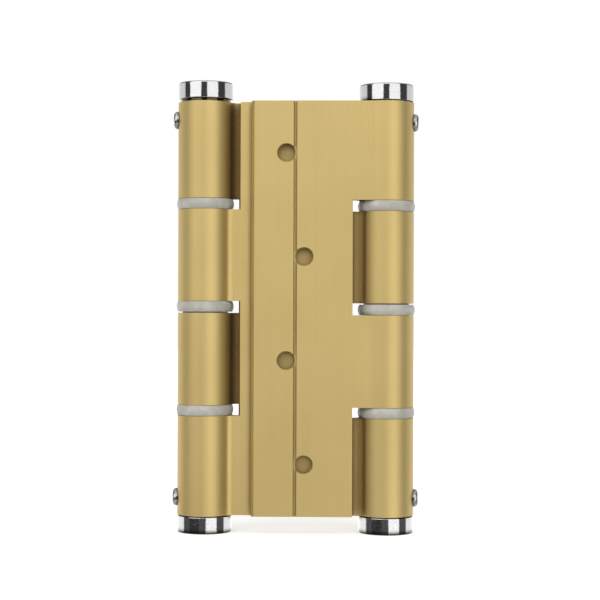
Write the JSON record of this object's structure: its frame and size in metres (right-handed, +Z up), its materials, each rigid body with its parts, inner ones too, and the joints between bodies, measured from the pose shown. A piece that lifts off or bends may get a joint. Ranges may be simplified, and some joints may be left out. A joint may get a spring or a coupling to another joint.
{
  "type": "double-acting spring hinge",
  "caption": "Double-acting spring hinge: gold-anodised leaves folded between sprung barrels, with nylon washers and chromed end caps.",
  "frame": {"origin": "midway between the two barrel axes, level with the underside of the bottom caps", "axes": "+Z up along the barrels, +X from the left barrel to the right one, -Y out of the front of the door leaf"},
  "size_m": [0.0984, 0.023, 0.1801],
  "materials": {
    "gold_aluminium": "satin gold anodised",
    "nylon": "milky moulded nylon",
    "chromed_cap": "polished chrome",
    "plated_screw": "zinc plated",
    "spring_steel": "oiled spring steel"
  },
  "bodies": {
    "frame": {"frame_leaf": "gold_aluminium", "left_top_cap": "chromed_cap", "left_top_lock_screw": "plated_screw"},
    "centre": {"centre_leaf": "gold_aluminium", "left_washer_1": "nylon", "left_washer_2": "nylon", "left_washer_3": "nylon", "left_bottom_cap": "chromed_cap", "left_bottom_lock_screw": "plated_screw", "left_spring": "spring_steel", "left_core_rod": "spring_steel", "right_washer_1": "nylon", "right_washer_2": "nylon", "right_washer_3": "nylon", "right_bottom_cap": "chromed_cap", "right_bottom_lock_screw": "plated_screw", "right_spring": "spring_steel", "right_core_rod": "spring_steel"},
    "door": {"door_leaf": "gold_aluminium", "right_top_cap": "chromed_cap", "right_top_lock_screw": "plated_screw"}
  },
  "joints": [
    {"name": "left_barrel", "type": "hinge", "parent": "frame", "child": "centre", "pos_m": [-0.0364, 0, 0.0896], "axis": [0, 0, -1], "range_deg": [0, 120], "stiffness_Nm_per_rad": 0.73, "springref_deg": -91.67, "deforming": ["left_spring"]},
    {"name": "right_barrel", "type": "hinge", "parent": "centre", "child": "door", "pos_m": [0.0364, 0, 0.0896], "axis": [0, 0, 1], "range_deg": [0, 120], "stiffness_Nm_per_rad": 0.73, "springref_deg": -91.67, "deforming": ["right_spring"]}
  ]
}
